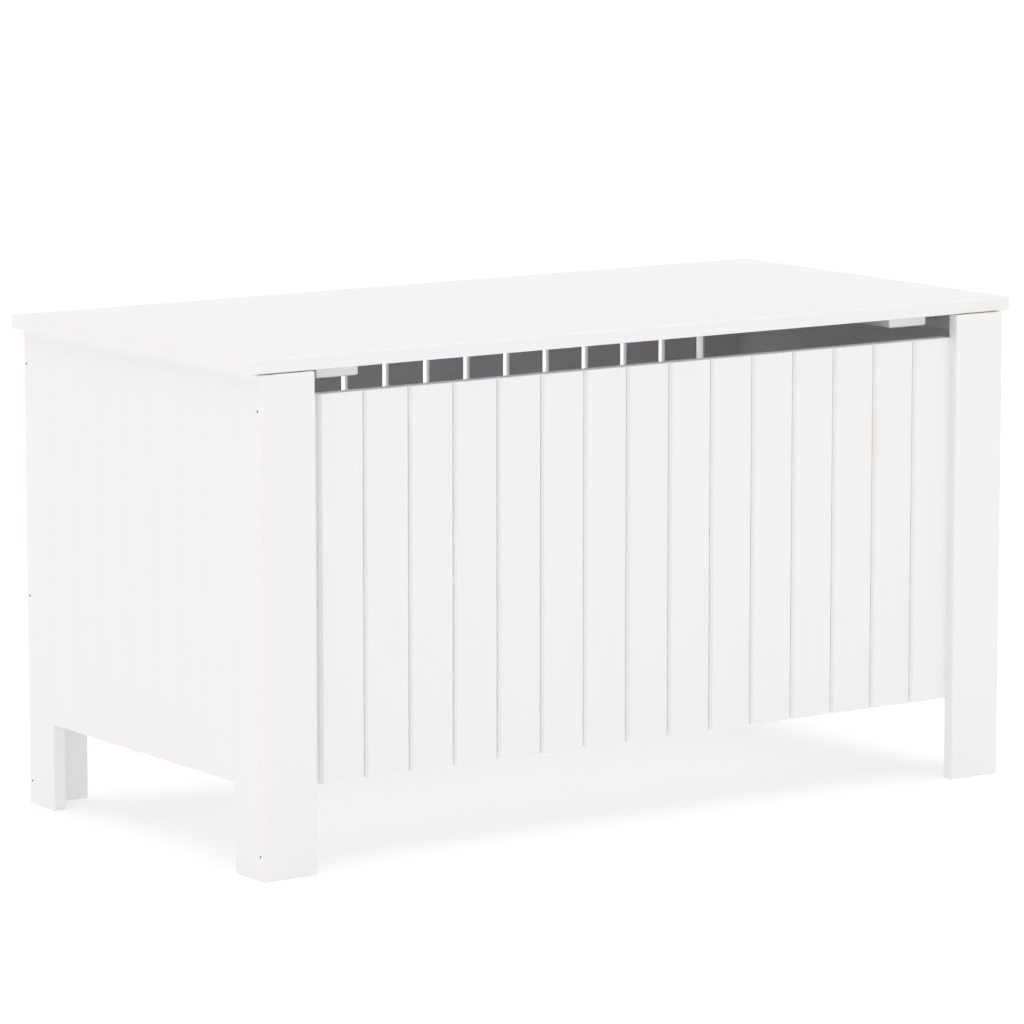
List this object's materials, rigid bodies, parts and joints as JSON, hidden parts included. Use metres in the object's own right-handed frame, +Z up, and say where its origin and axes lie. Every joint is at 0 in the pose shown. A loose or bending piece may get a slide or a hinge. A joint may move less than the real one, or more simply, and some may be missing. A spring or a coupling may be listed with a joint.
{
  "type": "toy box",
  "caption": "White painted wooden toy box on four board legs, with tongue and groove panels, a slatted back, a handhold under the front edge and a lid hinged at the back.",
  "frame": {"origin": "on the floor, under the middle of the box's whole outline", "axes": "+X to the right along the front, +Y towards the back where the hinges are, +Z up"},
  "size_m": [1, 0.488, 0.54],
  "materials": {
    "body_paint": "white satin paint over pine",
    "lid_paint": "white satin paint over pine",
    "inner_paint": "thin white paint over pine",
    "bottom_paint": "thin white paint over board",
    "hinge_steel": "zinc plated",
    "bumper_rubber": "matt, translucent white"
  },
  "bodies": {
    "box": {"leg_front_left_face_board": "body_paint", "leg_front_left_side_board": "body_paint", "leg_front_right_face_board": "body_paint", "leg_front_right_side_board": "body_paint", "leg_back_left_face_board": "body_paint", "leg_back_left_side_board": "body_paint", "leg_back_right_face_board": "body_paint", "leg_back_right_side_board": "body_paint", "front_board_01": "body_paint", "front_board_02": "body_paint", "front_board_03": "body_paint", "front_board_04": "body_paint", "front_board_05": "body_paint", "front_board_06": "body_paint", "front_board_07": "body_paint", "front_board_08": "body_paint", "front_board_09": "body_paint", "front_board_10": "body_paint", "front_board_11": "body_paint", "front_board_12": "body_paint", "front_board_13": "body_paint", "front_board_14": "body_paint", "front_board_15": "body_paint", "back_slat_01": "inner_paint", "back_slat_02": "inner_paint", "back_slat_03": "inner_paint", "back_slat_04": "inner_paint", "back_slat_05": "inner_paint", "back_slat_06": "inner_paint", "back_slat_07": "inner_paint", "back_slat_08": "inner_paint", "back_slat_09": "inner_paint", "back_slat_10": "inner_paint", "back_slat_11": "inner_paint", "back_slat_12": "inner_paint", "back_slat_13": "inner_paint", "back_slat_14": "inner_paint", "back_slat_15": "inner_paint", "side_panel_left": "body_paint", "side_panel_right": "body_paint", "front_top_rail": "inner_paint", "front_bottom_rail": "inner_paint", "back_top_rail": "inner_paint", "back_bottom_rail": "inner_paint", "side_top_rail_left": "inner_paint", "side_top_rail_right": "inner_paint", "side_bottom_rail_left": "inner_paint", "side_bottom_rail_right": "inner_paint", "bottom_panel": "bottom_paint", "lid_bumper_left": "bumper_rubber", "lid_bumper_right": "bumper_rubber", "hinge_left_box_leaf": "hinge_steel", "hinge_left_pin": "hinge_steel", "hinge_right_box_leaf": "hinge_steel", "hinge_right_pin": "hinge_steel"},
    "lid": {"lid_board": "lid_paint", "lid_batten_left": "lid_paint", "lid_batten_right": "lid_paint", "hinge_left_lid_leaf": "hinge_steel", "hinge_right_lid_leaf": "hinge_steel"}
  },
  "joints": [
    {"name": "lid_hinge", "type": "hinge", "parent": "box", "child": "lid", "pos_m": [0, 0.2385, 0.5236], "axis": [-1, 0, 0], "range_deg": [0, 100]}
  ]
}
